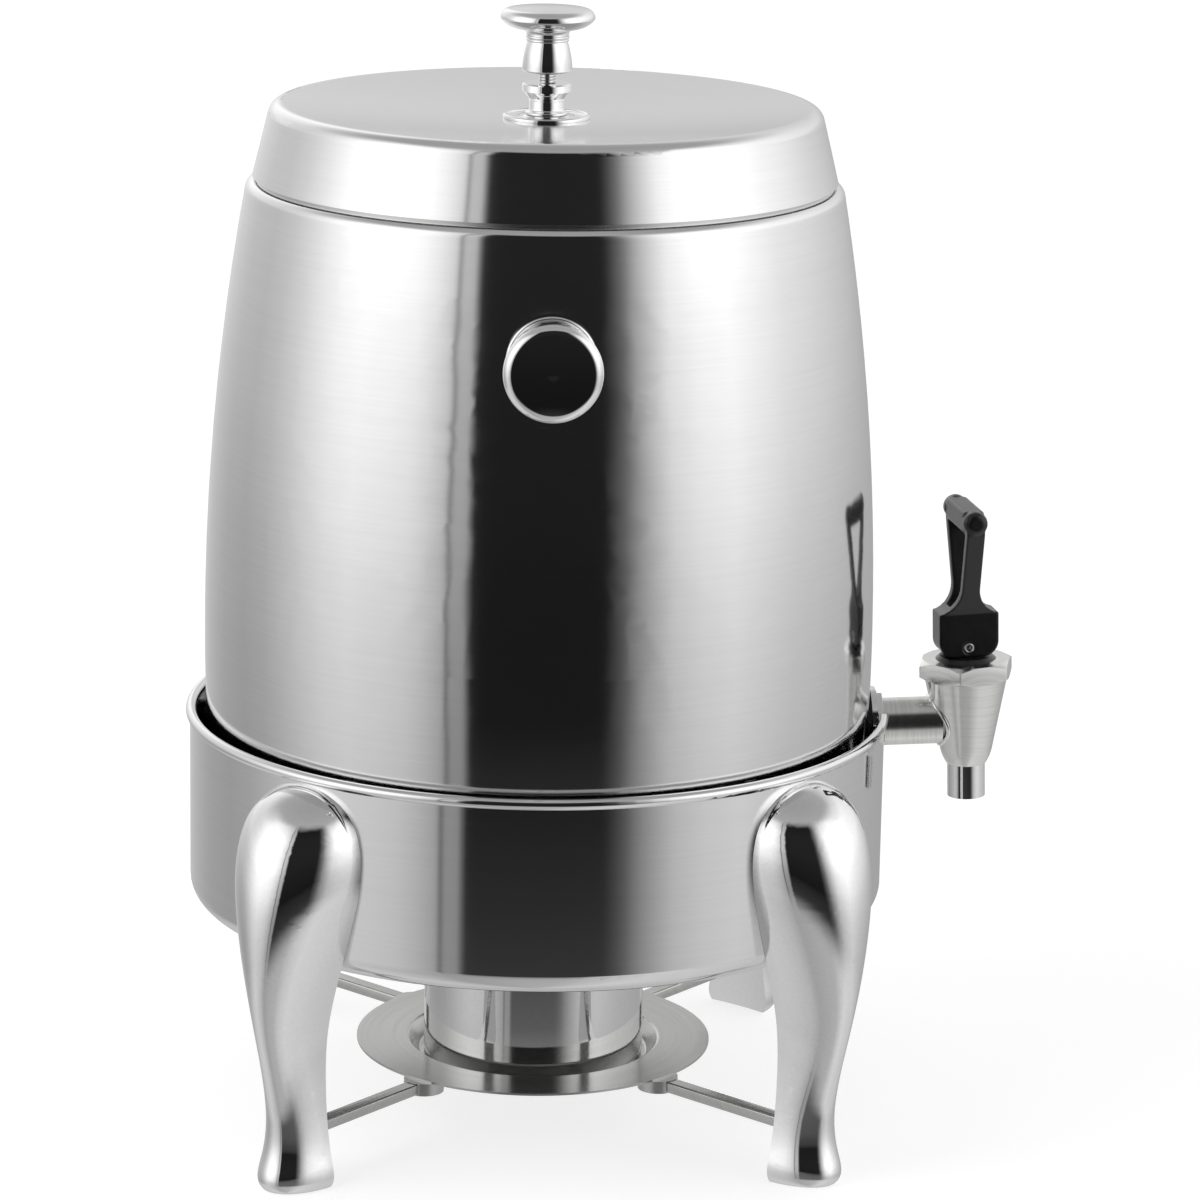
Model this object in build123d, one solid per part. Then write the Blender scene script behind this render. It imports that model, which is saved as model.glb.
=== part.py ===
from build123d import *
import os
from math import copysign, cos, radians, sin, sqrt, tan

# Coffee urn: a double-walled barrel on a collar with four cast legs, heated by a fuel cup.
# Millimetres. +Z is up, the floor is Z = 0 and +X points along the tap. The pieces are drawn
# about the barrel's axis, and the whole is then moved along X so that its box is centred.

# --- clearances -------------------------------------------------------------------------
FIT = 0.02           # a thread or a spigot in its hole, per side
RUNNING = 0.05       # a pin or a shaft that turns, per side
LOOSE = 0.3          # pieces that slide apart by hand
SEAT = 0.1           # faces of two bodies that rest on each other
BEDDING = 0.06       # a curved face laid against a curved wall

# --- barrel and coffee tank -------------------------------------------------------------
SHEET = 1.0          # steel sheet of barrel, tank and lid
BARREL_R = 148.5     # greatest radius, at BULGE_Z
BULGE_Z = 215.0
BULGE_ARC = 1131.0   # radius of the side's curve
BARREL_TOP = 418.5
BARREL_EDGE = 4.5    # rounding of the barrel's two ends
PORT_MARGIN = 5.0    # barrel's port for the flame, beyond the tank's radius
SEAM_INSET = 0.4     # seams of the barrel's flat end rings, inside its rounded ends
TANK_R = 121.8
TANK_FLOOR = 157.0
TANK_EDGE = 6.0
TANK_RIM = 1.5       # thickness of the tank's rim, which hangs on the barrel
TANK_RIM_W = 4.2     # how far the rim reaches out
SKIRT_SHEET = 0.8
SKIRT_FLANGE_W = 11.0
SKIRT_LAP = 3.0      # how far the skirt reaches up past the tank's floor

# --- collar and legs --------------------------------------------------------------------
COLLAR_SHEET = 1.2
COLLAR_GAP = 5.5     # between the barrel's bulge and the collar
COLLAR_BASE = 95.9
COLLAR_RIM = 180.5   # centre height of the rolled rim
COLLAR_EDGE = 9.0
LEDGE_W = 26.0       # ledge under the barrel
BEAD_R = 2.4
NOTCH_R = 19.0       # notch for the tap's shank
NOTCH_FLARE = 5.0
STAND_TURN = 1.4     # how far the stand is turned under the barrel, in degrees
LEG_ANGLE = 46.5     # legs to each side of the tap's plane, in degrees
LEG_BACK = 5.2       # the sections are drawn this far inside the collar, then cut back
LEG_STATIONS = 26
# half width, depth from the drawing plane and height of the leg's half-oval sections
LEG_SECTIONS = [
    (15.6, 26.4, 0.0), (17.3, 28.4, 4.0), (16.4, 26.8, 12.0), (14.2, 24.6, 26.0),
    (12.9, 26.8, 45.0), (13.8, 32.6, 70.0), (19.6, 36.8, 96.0), (25.6, 37.8, 118.0),
    (29.6, 36.2, 138.0), (29.6, 32.5, 153.0), (26.4, 27.2, 164.0), (20.0, 20.3, 171.5),
    (11.5, 11.6, 176.0), (2.5, 2.5, 177.4),
]
SCREW_HEIGHTS = (112.0, 150.0)
SCREW_R = 2.5
SCREW_GRIP = 14.0    # thread inside the leg
SCREW_HEAD_R = 4.6
SCREW_HEAD_H = 3.0
SCREW_WASHER_R = 6.0
SCREW_WASHER_T = 1.0

# --- burner -----------------------------------------------------------------------------
BRIM_W = 23.3        # tray's flat brim round the well
TRAY_Z = 26.0        # top of the brim
TRAY_SHEET = 1.0
WELL_DEPTH = 7.0
WELL_GAP = 2.2       # between the cup and the well's floor corner
WELL_SLOPE = 5.0
BOSS_R = 8.9
BOSS_INSET = 4.4     # bosses' circle inside the tray's rim
BOSS_H = 5.6
BAR_W = 7.0
BAR_H = 5.0
CUP_R = 49.6
CUP_H = 56.0
CUP_SHEET = 0.8
CUP_EDGE = 2.5
COVER_SKIRT = 6.0
FLAME_HOLE_R = 22.0
DAMPER_R = 25.0
DAMPER_T = 1.0
PIVOT_AT = 36.0
PIVOT_R = 2.5
PIVOT_HEAD_R = 4.5
PIVOT_HEAD_H = 1.5
DAMPER_KNOB_R = 4.0
DAMPER_KNOB_H = 9.0
DAMPER_KNOB_AT = -15.0

# --- lid --------------------------------------------------------------------------------
LID_SEAM = 1.8       # dark gap between barrel and lid
LID_STEP = 2.5       # lid's foot inside the barrel's corner
LID_H = 32.3
LID_DRAW = 8.0       # radius lost over the lid's height
LID_EDGE = 6.0
LID_DISH = 6.8       # how far the top sinks to its middle
LINER_SHEET = 0.8
LINER_DEPTH = 12.0
LINER_GAP = 1.5      # liner to tank wall, which the gasket fills
GASKET_H = 5.0
GASKET_DROP = 4.0

# --- turned knobs -----------------------------------------------------------------------
STUD_R = 3.9
STUD_GRIP = 12.0     # thread inside the knob
ROSETTE_R = 19.0
ROSETTE_H = 1.5
KNOB_H = 28.3
POST_H = 13.9        # post under the lid's knob
NECK = 4.8           # bare stud between post and knob
SIDE_KNOB_DROP = 52.6  # side knobs below the barrel's top
SIDE_KNOB_TURN = -1.2  # degrees, the side knobs' line from square to the tap
KNOB_WASHER_R = 9.0
KNOB_WASHER_T = 1.5
KNOB_NUT_FLATS = 13.0
KNOB_NUT_H = 6.5
STUD_TAIL = 1.0      # stud beyond its nut

# --- tap --------------------------------------------------------------------------------
TAP_REACH = 44.6     # tap's axis beyond the barrel's bulge
TAP_LEAN = 2.2       # degrees that the whole tap leans back towards the barrel
SHANK_RISE = 15.5743   # shank's axis above the tank's floor, about at the tank's wall
SHANK_R = 10.65
SHANK_BORE = 7.0
SOCKET_DEPTH = 3.0   # shank's seat in the body
THREAD_R = 10.0
THREAD_HOLE = 0.4    # holes in the walls, beyond the thread
FLANGE_R = 16.0
FLANGE_T = 2.5
JAM_NUT_FLATS = 23.4
JAM_NUT_T = 3.0
SEAL_R = 13.5
SEAL_T = 1.8
LOCK_NUT_FLATS = 25.0
LOCK_NUT_T = 6.0
SHANK_TAIL = 3.0     # thread beyond the lock nut
BODY_BASE = -20.1    # heights on the tap are above the shank's axis
BODY_TOP = 19.8
BODY_TOP_R = 18.6
BODY_WAIST_Z = -13.0
BODY_WAIST_R = 11.8
BODY_BASE_R = 8.9
SEAT_Z = -13.3       # where the cup closes the outlet
OUTLET_R = 5.0
CHAMBER_LOW_R = 7.5
CHAMBER_R = 14.5
SPIGOT_H = 5.6       # bonnet's spigot in the body
SPOUT_R = 8.5
SPOUT_BORE = 5.6
SPOUT_LOW = -35.4
SPOUT_SPIGOT_R = 7.0
SPOUT_SPIGOT_H = 3.4
BONNET_CORNER = 22.6
BONNET_H = 8.6
BONNET_CHAMFER = 3.2  # off the corners' radius
BONNET_TURN = 16.5   # degrees, where the tightened bonnet's corner points
ROCKER_LOW_R = 13.6  # washer that the lever rocks on
ROCKER_TOP_R = 11.8
ROCKER_H = 1.6
STEM_R = 3.0
STEM_FOOT = -10.3
EYE_R = 4.2
EYE_W = 6.4
PLUG_R = 6.8
PLUG_TOP = -4.9
SPRING_R = 5.2
SPRING_WIRE = 0.6
SPRING_TURNS = 6
LEVER_TWIST = 7.0    # degrees, how far the lever is turned about its stem
LEVER_DROP = 4.2     # pin above the lever's sole
LEVER_HALF = 13.6    # half width of the lever's base
LEVER_HEEL = 7.0     # rounded corners that the lever rocks on
LEVER_BASE_Y = 7.0
LEVER_BASE_TOP = 15.9
LEVER_ARM = 4.1
LEVER_ARM_LOW = 27.8
LEVER_FLARE = 12.4
GRIP_Z = 59.8        # grip's axis above the pin
GRIP_R = 5.4
GRIP_HALF = 21.4
GRIP_EDGE = 3.4      # rounding of the grip's ends
ARM_T = 4.6
ARM_INSET = 1.4      # arms' outer faces inside the grip's ends
WINDOW_LOW = 18.5
WINDOW_LOW_Y = 3.0
PIN_R = 2.0
PIN_BORE = 1.2
SLOT_HALF = 8.0
SLOT_TOP = 5.2

# --- places worked out from the sizes above ----------------------------------------------
BIG = 3 * BARREL_R
COLLAR_R = BARREL_R + COLLAR_GAP + COLLAR_SHEET
BARREL_BASE = COLLAR_BASE + COLLAR_SHEET
PORT_R = TANK_R + PORT_MARGIN
TAP_X = BARREL_R + TAP_REACH
LEAN = radians(TAP_LEAN)
TAP_Z = TANK_FLOOR + SHANK_RISE + (BARREL_R - TANK_R) * tan(LEAN)
BONNET_TOP = BODY_TOP + BONNET_H
ROCKER_TOP = BONNET_TOP + ROCKER_H
PIN_Z = ROCKER_TOP + 2 * SEAT + LEVER_DROP
TRAY_FLOOR = TRAY_Z - WELL_DEPTH
WELL_R = CUP_R + WELL_GAP
TRAY_R = WELL_R + WELL_SLOPE + BRIM_W
BOSS_AT = TRAY_R - BOSS_INSET
CUP_BASE = TRAY_FLOOR
COVER_TOP = CUP_BASE + CUP_H + CUP_SHEET
LID_BASE = BARREL_TOP + LID_SEAM
SIDE_KNOB_Z = BARREL_TOP - SIDE_KNOB_DROP
LID_TOP = LID_BASE + LID_H


def side_radius(z, inset=0.0):
    """Radius of the barrel's side at a height."""
    arc = BULGE_ARC - inset
    return BARREL_R - BULGE_ARC + sqrt(arc**2 - (z - BULGE_Z) ** 2)


LID_R = side_radius(BARREL_TOP) - LID_STEP
LID_CENTRE = LID_TOP - LID_DISH
SIDE_SEAT = side_radius(SIDE_KNOB_Z - ROSETTE_R) + LOOSE + ROSETTE_H
SIDE_NUT_FACE = side_radius(SIDE_KNOB_Z + KNOB_WASHER_R, SHEET) - KNOB_WASHER_T
BARREL_AT_TAP = side_radius(TAP_Z)
FLANGE_BACK = BARREL_AT_TAP + SEAL_T
LOCK_NUT_FACE = TANK_R - SHEET - 2 * SEAL_T

# The box runs from the rolled rim behind to the bonnet's front corner.
BOX_LOW_X = -(COLLAR_R - COLLAR_SHEET / 2 + BEAD_R)
REACH = TAP_X - BARREL_AT_TAP + BONNET_CORNER * cos(radians(BONNET_TURN))
BOX_HIGH_X = BARREL_AT_TAP + REACH * cos(LEAN) - (BODY_TOP + BONNET_H / 2) * sin(LEAN)
CENTRING = Pos(-(BOX_LOW_X + BOX_HIGH_X) / 2, 0, 0)


# --- ways of making a piece ---------------------------------------------------------------
def cylinder(radius, low, high):
    """Solid cylinder about Z between two heights."""
    return Pos(0, 0, low) * Cylinder(radius, high - low, align=(Align.CENTER, Align.CENTER, Align.MIN))


def ring(outer, inner, low, high):
    return cylinder(outer, low, high) - cylinder(inner, low - 1, high + 1)


def turned(*edges):
    """Solid of revolution about Z from the edges of a half outline in X and Z."""
    return revolve(Plane.XZ * make_face(Curve() + list(edges)), Axis.Z)


def turned_points(*points):
    return turned(*Polyline(*points, close=True).edges())


def skin(outline, sheet):
    """Sheet of even thickness, turned about Z, just inside a half outline."""
    whole = outline + mirror(outline, Plane.YZ)
    band = whole - offset(whole, -sheet, kind=Kind.INTERSECTION)
    half = band & (Pos(BIG, 0) * Rectangle(2 * BIG, 6 * BIG))
    return revolve(Plane.XZ * half, Axis.Z)


def crown(radius, edge, middle):
    """Shallow arc in X and Z from a rim to the axis, level where it meets the axis."""
    rise = middle - edge
    arc = (radius**2 + rise**2) / (2 * rise)
    x = radius / 2
    z = middle - arc + copysign(sqrt(arc**2 - x**2), arc)
    return ThreePointArc((radius, edge), (x, z), (0, middle))


def along_x(shape):
    """Turn a piece drawn up Z so that it runs along +X."""
    return Rot(0, 90, 0) * shape


def hexagon(flats, low, high):
    across = RegularPolygon(flats / 2, 6, major_radius=False)
    return Pos(0, 0, low) * extrude(across, high - low)


def around(angles, piece):
    return [Rot(0, 0, angle) * piece for angle in angles]


# --- barrel -------------------------------------------------------------------------------
def barrel_outline(inset=0.0):
    low, high = BARREL_BASE + inset, BARREL_TOP - inset
    foot, top = (side_radius(low, inset), low), (side_radius(high, inset), high)
    side = ThreePointArc(foot, (BARREL_R - inset, BULGE_Z), top)
    face = make_face(Curve() + [Line((0, low), foot), side, Line(top, (0, high)), Line((0, high), (0, low))])
    corners = face.vertices().filter_by(lambda v: v.X > 1)
    return fillet(corners, BARREL_EDGE - inset)


def barrel_blank(inset=0.0):
    return revolve(Plane.XZ * barrel_outline(inset), Axis.Z)


def tank_blank(inset=0.0):
    radius, floor = TANK_R - inset, TANK_FLOOR - SHEET + inset
    body = cylinder(radius, floor, BARREL_TOP + 1)
    edge = body.edges().filter_by(GeomType.CIRCLE).sort_by(Axis.Z)[0]
    return fillet(edge, TANK_EDGE - inset)


BASE_SEAM_R = side_radius(BARREL_BASE) - BARREL_EDGE - SEAM_INSET
TOP_SEAM_R = side_radius(BARREL_TOP) - BARREL_EDGE - SEAM_INSET


def barrel_shell():
    """The bulged wall with its two rounded ends, as far in as the seams of the flat rings."""
    shell = barrel_blank() - barrel_blank(SHEET)
    shell -= cylinder(BASE_SEAM_R, BARREL_BASE - 1, BARREL_BASE + 2 * SHEET)
    shell -= cylinder(TOP_SEAM_R, BARREL_TOP - 2 * SHEET, BARREL_TOP + 1)
    shell -= shank_hole()
    for side in (1, -1):
        shell -= side_place(side) * cylinder(STUD_R + FIT, -20, 20)
    return shell


def barrel_base_ring():
    return ring(BASE_SEAM_R, PORT_R, BARREL_BASE, BARREL_BASE + SHEET)


def barrel_top_ring():
    return ring(TOP_SEAM_R, TANK_R + LOOSE, BARREL_TOP - SHEET, BARREL_TOP)


TANK_SEAM = TANK_FLOOR - SHEET + TANK_EDGE


def tank_wall():
    """Straight tube with the rim that hangs on the barrel."""
    rim = ring(TANK_R + TANK_RIM_W, TANK_R - SHEET, BARREL_TOP, BARREL_TOP + TANK_RIM)
    return ring(TANK_R, TANK_R - SHEET, TANK_SEAM, BARREL_TOP) + rim - shank_hole()


def tank_floor():
    """Pressed floor whose rounded edge meets the wall at the seam."""
    return tank_blank() - tank_blank(SHEET) - cylinder(BIG, TANK_SEAM, BARREL_TOP + 2)


def heat_skirt():
    inner = TANK_R + LOOSE
    low = BARREL_BASE + SHEET
    wall = ring(inner + SKIRT_SHEET, inner, low, TANK_FLOOR + SKIRT_LAP)
    return wall + ring(inner + SKIRT_FLANGE_W, inner, low, low + SKIRT_SHEET)


# --- stand --------------------------------------------------------------------------------
def collar():
    top = COLLAR_RIM
    outline = make_face(Polyline((0, COLLAR_BASE), (COLLAR_R, COLLAR_BASE), (COLLAR_R, top + 10),
                                 (0, top + 10), close=True))
    corner = outline.vertices().sort_by(Axis.Y)[:2].sort_by(Axis.X)[-1]
    wall = skin(fillet(corner, COLLAR_EDGE), COLLAR_SHEET)
    wall -= cylinder(BIG, top, top + 20)
    wall -= cylinder(COLLAR_R - LEDGE_W, COLLAR_BASE - 1, COLLAR_BASE + 10)
    bead = Pos(0, 0, top) * Torus(COLLAR_R - COLLAR_SHEET / 2, BEAD_R)
    band = wall + bead - notch()
    for angle in leg_angles():
        for height in SCREW_HEIGHTS:
            hole = Pos(0, 0, height) * along_x(cylinder(SCREW_R + RUNNING, COLLAR_R - 10, COLLAR_R + 10))
            band -= Rot(0, 0, angle) * hole
    return band


def notch():
    """Open-topped notch, round below the shank and flared where it meets the rim."""
    rim = COLLAR_RIM + BEAD_R
    flare_low = rim - NOTCH_FLARE
    shape = Pos(0, TAP_Z) * Circle(NOTCH_R)
    shape += Pos(0, TAP_Z) * Rectangle(2 * NOTCH_R, 2 * NOTCH_R, align=(Align.CENTER, Align.MIN))
    wide = 2 * (NOTCH_R + NOTCH_FLARE)
    flare = Pos(0, flare_low) * Rectangle(wide, 3 * NOTCH_FLARE, align=(Align.CENTER, Align.MIN))
    for side in (1, -1):
        flare -= Pos(side * wide / 2, flare_low) * Circle(NOTCH_FLARE)
    profile = Plane.YZ * (shape + flare)
    return Rot(0, 0, STAND_TURN) * extrude(Pos(COLLAR_R - 20, 0, 0) * profile, 40)


def leg_angles():
    quarter = (LEG_ANGLE, -LEG_ANGLE, 180 - LEG_ANGLE, 180 + LEG_ANGLE)
    return [angle + STAND_TURN for angle in quarter]


def leg():
    """Cast leg drawn on +X: half-oval sections on one smooth line, cut to fit the collar."""
    back = COLLAR_R - LEG_BACK
    line = Spline(*[Vector(*row) for row in LEG_SECTIONS])
    faces = []
    for step in range(LEG_STATIONS + 1):
        width, depth, height = line @ (step / LEG_STATIONS)
        oval = EllipticalCenterArc((back, 0), depth, width, start_angle=-90, arc_size=180)
        flat = Line((back, width), (back, -width))
        faces.append(Pos(0, 0, height) * make_face(Curve() + [oval, flat]))
    solid = loft(faces) - cylinder(COLLAR_R + BEDDING, -1, COLLAR_RIM + 10)
    for height in SCREW_HEIGHTS:
        end = COLLAR_R + SCREW_GRIP + 1
        solid -= Pos(0, 0, height) * along_x(cylinder(SCREW_R + FIT, COLLAR_R - 5, end))
    return solid


SCREW_WASHER_FACE = sqrt((COLLAR_R - COLLAR_SHEET - BEDDING) ** 2 - SCREW_WASHER_R**2)


def leg_screw(height):
    washer_back = SCREW_WASHER_FACE - SCREW_WASHER_T
    head = cylinder(SCREW_HEAD_R, washer_back - SCREW_HEAD_H, washer_back)
    shank = cylinder(SCREW_R, washer_back - 1, COLLAR_R + SCREW_GRIP)
    return Pos(0, 0, height) * along_x(head + shank)


def leg_screw_washer(height):
    low = SCREW_WASHER_FACE - SCREW_WASHER_T
    return Pos(0, 0, height) * along_x(ring(SCREW_WASHER_R, SCREW_R + RUNNING, low, SCREW_WASHER_FACE))


# --- burner -------------------------------------------------------------------------------
def burner_tray():
    lip, foot = WELL_R + WELL_SLOPE, WELL_R
    top = [(0, TRAY_FLOOR), (foot, TRAY_FLOOR), (lip, TRAY_Z), (TRAY_R, TRAY_Z)]
    under = [(r + 0.35 * (0 < r < TRAY_R), z - TRAY_SHEET) for r, z in reversed(top)]
    face = make_face(Polyline(*top, *under, close=True))
    bends = face.vertices().filter_by(lambda v: WELL_R - 1 < v.X < lip + 1)
    return revolve(Plane.XZ * fillet(bends, 1.6), Axis.Z)


def tray_boss():
    high = TRAY_Z - TRAY_SHEET
    return Pos(BOSS_AT, 0, 0) * cylinder(BOSS_R, high - BOSS_H, high)


def brace_bar():
    high = TRAY_Z - TRAY_SHEET - 0.3
    start = BOSS_AT
    bar = Pos(start, 0, high) * Box(COLLAR_R + 20 - start, BAR_W, BAR_H, align=(Align.MIN, Align.CENTER, Align.MAX))
    bar &= cylinder(COLLAR_R, 0, TRAY_Z)
    return bar - tray_boss()


def fuel_cup():
    body = cylinder(CUP_R, CUP_BASE, CUP_BASE + CUP_H)
    edge = body.edges().filter_by(GeomType.CIRCLE).sort_by(Axis.Z)[0]
    body = fillet(edge, CUP_EDGE)
    hollow = cylinder(CUP_R - CUP_SHEET, CUP_BASE + CUP_SHEET, CUP_BASE + CUP_H + 5)
    edge = hollow.edges().filter_by(GeomType.CIRCLE).sort_by(Axis.Z)[0]
    return body - fillet(edge, CUP_EDGE - CUP_SHEET)


def fuel_cup_cover():
    low = CUP_BASE + CUP_H
    plate = ring(CUP_R + FIT + CUP_SHEET, FLAME_HOLE_R, low, COVER_TOP)
    skirt = ring(CUP_R + FIT + CUP_SHEET, CUP_R + FIT, low - COVER_SKIRT, COVER_TOP)
    return plate + skirt - Pos(PIVOT_AT, 0, 0) * cylinder(PIVOT_R + FIT, low - 1, COVER_TOP + 1)


def flame_damper():
    low = COVER_TOP + SEAT
    disc = cylinder(DAMPER_R, low, low + DAMPER_T)
    tab = Pos(PIVOT_AT / 2, 0, low) * Box(PIVOT_AT, 2 * PIVOT_HEAD_R + 2, DAMPER_T,
                                          align=(Align.CENTER, Align.CENTER, Align.MIN))
    end = Pos(PIVOT_AT, 0, 0) * cylinder(PIVOT_HEAD_R + 1, low, low + DAMPER_T)
    return disc + tab + end - Pos(PIVOT_AT, 0, 0) * cylinder(PIVOT_R + RUNNING, low - 1, low + 5)


def damper_pivot():
    head_low = COVER_TOP + 2 * SEAT + DAMPER_T
    shank = cylinder(PIVOT_R, COVER_TOP - CUP_SHEET, head_low + 0.5)
    head = cylinder(PIVOT_HEAD_R, head_low, head_low + PIVOT_HEAD_H)
    tail_top = COVER_TOP - CUP_SHEET
    tail = cylinder(PIVOT_HEAD_R, tail_top - PIVOT_HEAD_H, tail_top)
    return Pos(PIVOT_AT, 0, 0) * (shank + head + tail)


def damper_knob():
    low = COVER_TOP + SEAT + DAMPER_T
    r, h = DAMPER_KNOB_R, DAMPER_KNOB_H
    shape = turned_points((0, low), (0.6 * r, low), (0.6 * r, low + 0.45 * h), (r, low + 0.6 * h),
                          (r, low + 0.9 * h), (0.8 * r, low + h), (0, low + h))
    return Pos(DAMPER_KNOB_AT, 0, 0) * shape


# --- lid ----------------------------------------------------------------------------------
def lid_outline():
    """Half outline of the lid's outside, carried 5 below its foot along the side's slope."""
    slope = LID_DRAW / LID_H
    foot = (LID_R + 5 * slope, LID_BASE - 5)
    corner = (LID_R - LID_DRAW, LID_TOP)
    axis, sole = Line((0, LID_CENTRE), (0, LID_BASE - 5)), Line((0, LID_BASE - 5), foot)
    face = make_face(Curve() + [sole, Line(foot, corner), crown(*corner, LID_CENTRE), axis])
    return fillet(face.vertices().sort_by(Axis.Y)[-1], LID_EDGE)


def lid_shell():
    shell = skin(lid_outline(), SHEET) - cylinder(BIG, LID_BASE - 10, LID_BASE)
    return shell - cylinder(STUD_R + FIT, LID_CENTRE - 10, LID_CENTRE + 10)


def lid_liner():
    plug = TANK_R - SHEET - LINER_GAP
    low = LID_BASE - LINER_DEPTH
    wall = ring(plug, plug - LINER_SHEET, low, LID_BASE + LINER_SHEET)
    flange = ring(LID_R - SHEET - LOOSE - 0.2, plug - LINER_SHEET, LID_BASE, LID_BASE + LINER_SHEET)
    return wall + flange + cylinder(plug, low, low + LINER_SHEET)


def lid_gasket():
    plug = TANK_R - SHEET - LINER_GAP
    high = LID_BASE - GASKET_DROP
    return ring(TANK_R - SHEET - LOOSE, plug + BEDDING, high - GASKET_H, high)


# --- turned knobs, drawn up Z from their seat ---------------------------------------------
def knob():
    foot = ThreePointArc((9.7, 0), (10.6, 0.4), (10.95, 1.3))
    bell = ThreePointArc((10.95, 1.3), (10.2, 7.3), (8.7, 13.2))
    ring_1 = ThreePointArc((8.7, 13.2), (9.3, 13.9), (8.8, 14.6))
    ring_2 = ThreePointArc((8.8, 14.6), (9.5, 15.3), (9.1, 16.0))
    flare = ThreePointArc((9.1, 16.0), (9.8, 17.8), (11.6, 18.8))
    under = ThreePointArc((11.6, 18.8), (16.5, 19.9), (20.55, 23.3))
    rim = ThreePointArc((20.55, 23.3), (19.7, 25.8), (16.8, 27.4))
    outline = [foot, bell, ring_1, ring_2, flare, under, rim, crown(16.8, 27.4, KNOB_H)]
    solid = turned(Line((0, 0), (9.7, 0)), *outline, Line((0, KNOB_H), (0, 0)))
    return solid - cylinder(STUD_R + FIT, -1, STUD_GRIP + 1)


def knob_post():
    ring_low = ThreePointArc((8.6, 0), (9.4, 0.8), (8.6, 1.6))
    foot = ThreePointArc((8.6, 1.6), (7.9, 2.2), (7.6, 3.2))
    waist = Polyline((7.6, 3.2), (7.6, 6.2), (7.9, 6.5), (7.5, 7.0), (8.0, 7.4))
    flare = ThreePointArc((8.0, 7.4), (9.2, 8.9), (10.75, 10.4))
    head = Polyline((10.75, 10.4), (10.75, POST_H - 0.6), (10.2, POST_H), (0, POST_H), (0, 0), (8.6, 0))
    solid = turned(ring_low, foot, *waist.edges(), flare, *head.edges())
    return solid - cylinder(STUD_R + FIT, -1, POST_H + 1)


def rosette(depth):
    """Turned washer with a raised rim. Its back is carried down by depth, to be cut to the wall."""
    r, h = ROSETTE_R, ROSETTE_H
    rim = ThreePointArc((r, 0.6), (r - 0.9, 1.9), (r - 2.0, 1.1))
    dish = ThreePointArc((r - 2.0, 1.1), (14.0, 0.55), (10.2, 0.9))
    seat = Polyline((10.2, 0.9), (9.4, h), (0, h), (0, -depth), (r, -depth), (r, 0.6))
    solid = turned(rim, dish, *seat.edges())
    return solid - cylinder(STUD_R + FIT, -depth - 1, h + 1)


def side_place(side):
    """Seat of a side knob: up Z becomes out along Y, on the side given as 1 or -1."""
    return Rot(0, 0, SIDE_KNOB_TURN) * Pos(0, side * SIDE_SEAT, SIDE_KNOB_Z) * Rot(-90 * side, 0, 0)


def side_knob(side):
    return side_place(side) * knob()


def side_rosette(side):
    return side_place(side) * Pos(0, 0, -ROSETTE_H) * rosette(8) - barrel_blank(-BEDDING)


def side_stud(side):
    tail = SIDE_SEAT - SIDE_NUT_FACE + KNOB_NUT_H + STUD_TAIL
    return side_place(side) * cylinder(STUD_R, -tail, STUD_GRIP)


def side_washer(side):
    low = SIDE_NUT_FACE - SIDE_SEAT
    washer = side_place(side) * ring(KNOB_WASHER_R, STUD_R + FIT, low, low + 3 * KNOB_WASHER_T)
    return washer & barrel_blank(SHEET + BEDDING)


def knob_nut(high):
    return hexagon(KNOB_NUT_FLATS, high - KNOB_NUT_H, high) - cylinder(STUD_R + FIT, high - 20, high + 1)


def lid_stack():
    """Rosette, post, knob, stud, washer and nut on the lid's middle."""
    seat = LID_CENTRE + ROSETTE_H
    knob_seat = seat + POST_H + NECK
    under = LID_CENTRE - SHEET
    nut_top = under - KNOB_WASHER_T
    tail = nut_top - KNOB_NUT_H - STUD_TAIL
    lid_solid = revolve(Plane.XZ * lid_outline(), Axis.Z)
    return {
        "lid_rosette": Pos(0, 0, LID_CENTRE) * rosette(1) - Pos(0, 0, BEDDING) * lid_solid,
        "lid_knob_base": Pos(0, 0, seat) * knob_post(),
        "lid_knob": Pos(0, 0, knob_seat) * knob(),
        "lid_knob_stud": cylinder(STUD_R, tail, knob_seat + STUD_GRIP),
        "lid_knob_washer": ring(KNOB_WASHER_R, STUD_R + FIT, nut_top, under),
        "lid_knob_nut": knob_nut(nut_top),
    }


# --- tap ----------------------------------------------------------------------------------
TAP_FRAME = Pos(BARREL_AT_TAP, 0, TAP_Z) * Rot(0, -TAP_LEAN, 0) * Pos(-BARREL_AT_TAP, 0, 0)


def on_shank(piece):
    """Put a piece drawn up Z on the shank's axis, with its heights as distances along it."""
    return TAP_FRAME * along_x(piece)


def at_tap(piece):
    """Put a piece drawn about Z on the tap's own axis, with its heights above the shank."""
    return TAP_FRAME * Pos(TAP_X, 0, 0) * piece


def shank_hole():
    return on_shank(cylinder(THREAD_R + THREAD_HOLE, TANK_R / 2, BARREL_R + 5))


def body_radius(z):
    return BODY_WAIST_R + (BODY_TOP_R - BODY_WAIST_R) * (z - BODY_WAIST_Z) / (BODY_TOP - BODY_WAIST_Z)


SHANK_END = TAP_X - body_radius(0) + SOCKET_DEPTH
SHANK_SHOULDER = FLANGE_BACK + FLANGE_T + JAM_NUT_T


def tap_shank():
    thread = cylinder(THREAD_R, LOCK_NUT_FACE - LOCK_NUT_T - SHANK_TAIL, SHANK_SHOULDER)
    tube = cylinder(SHANK_R, SHANK_SHOULDER, SHANK_END)
    return on_shank(thread + tube - cylinder(SHANK_BORE, 0, BIG))


def on_thread(piece):
    return on_shank(piece - cylinder(THREAD_R + FIT, 0, BIG))


def tap_outer_seal():
    seal = on_thread(cylinder(SEAL_R, BARREL_R - 10, FLANGE_BACK))
    return seal - barrel_blank(-BEDDING)


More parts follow.
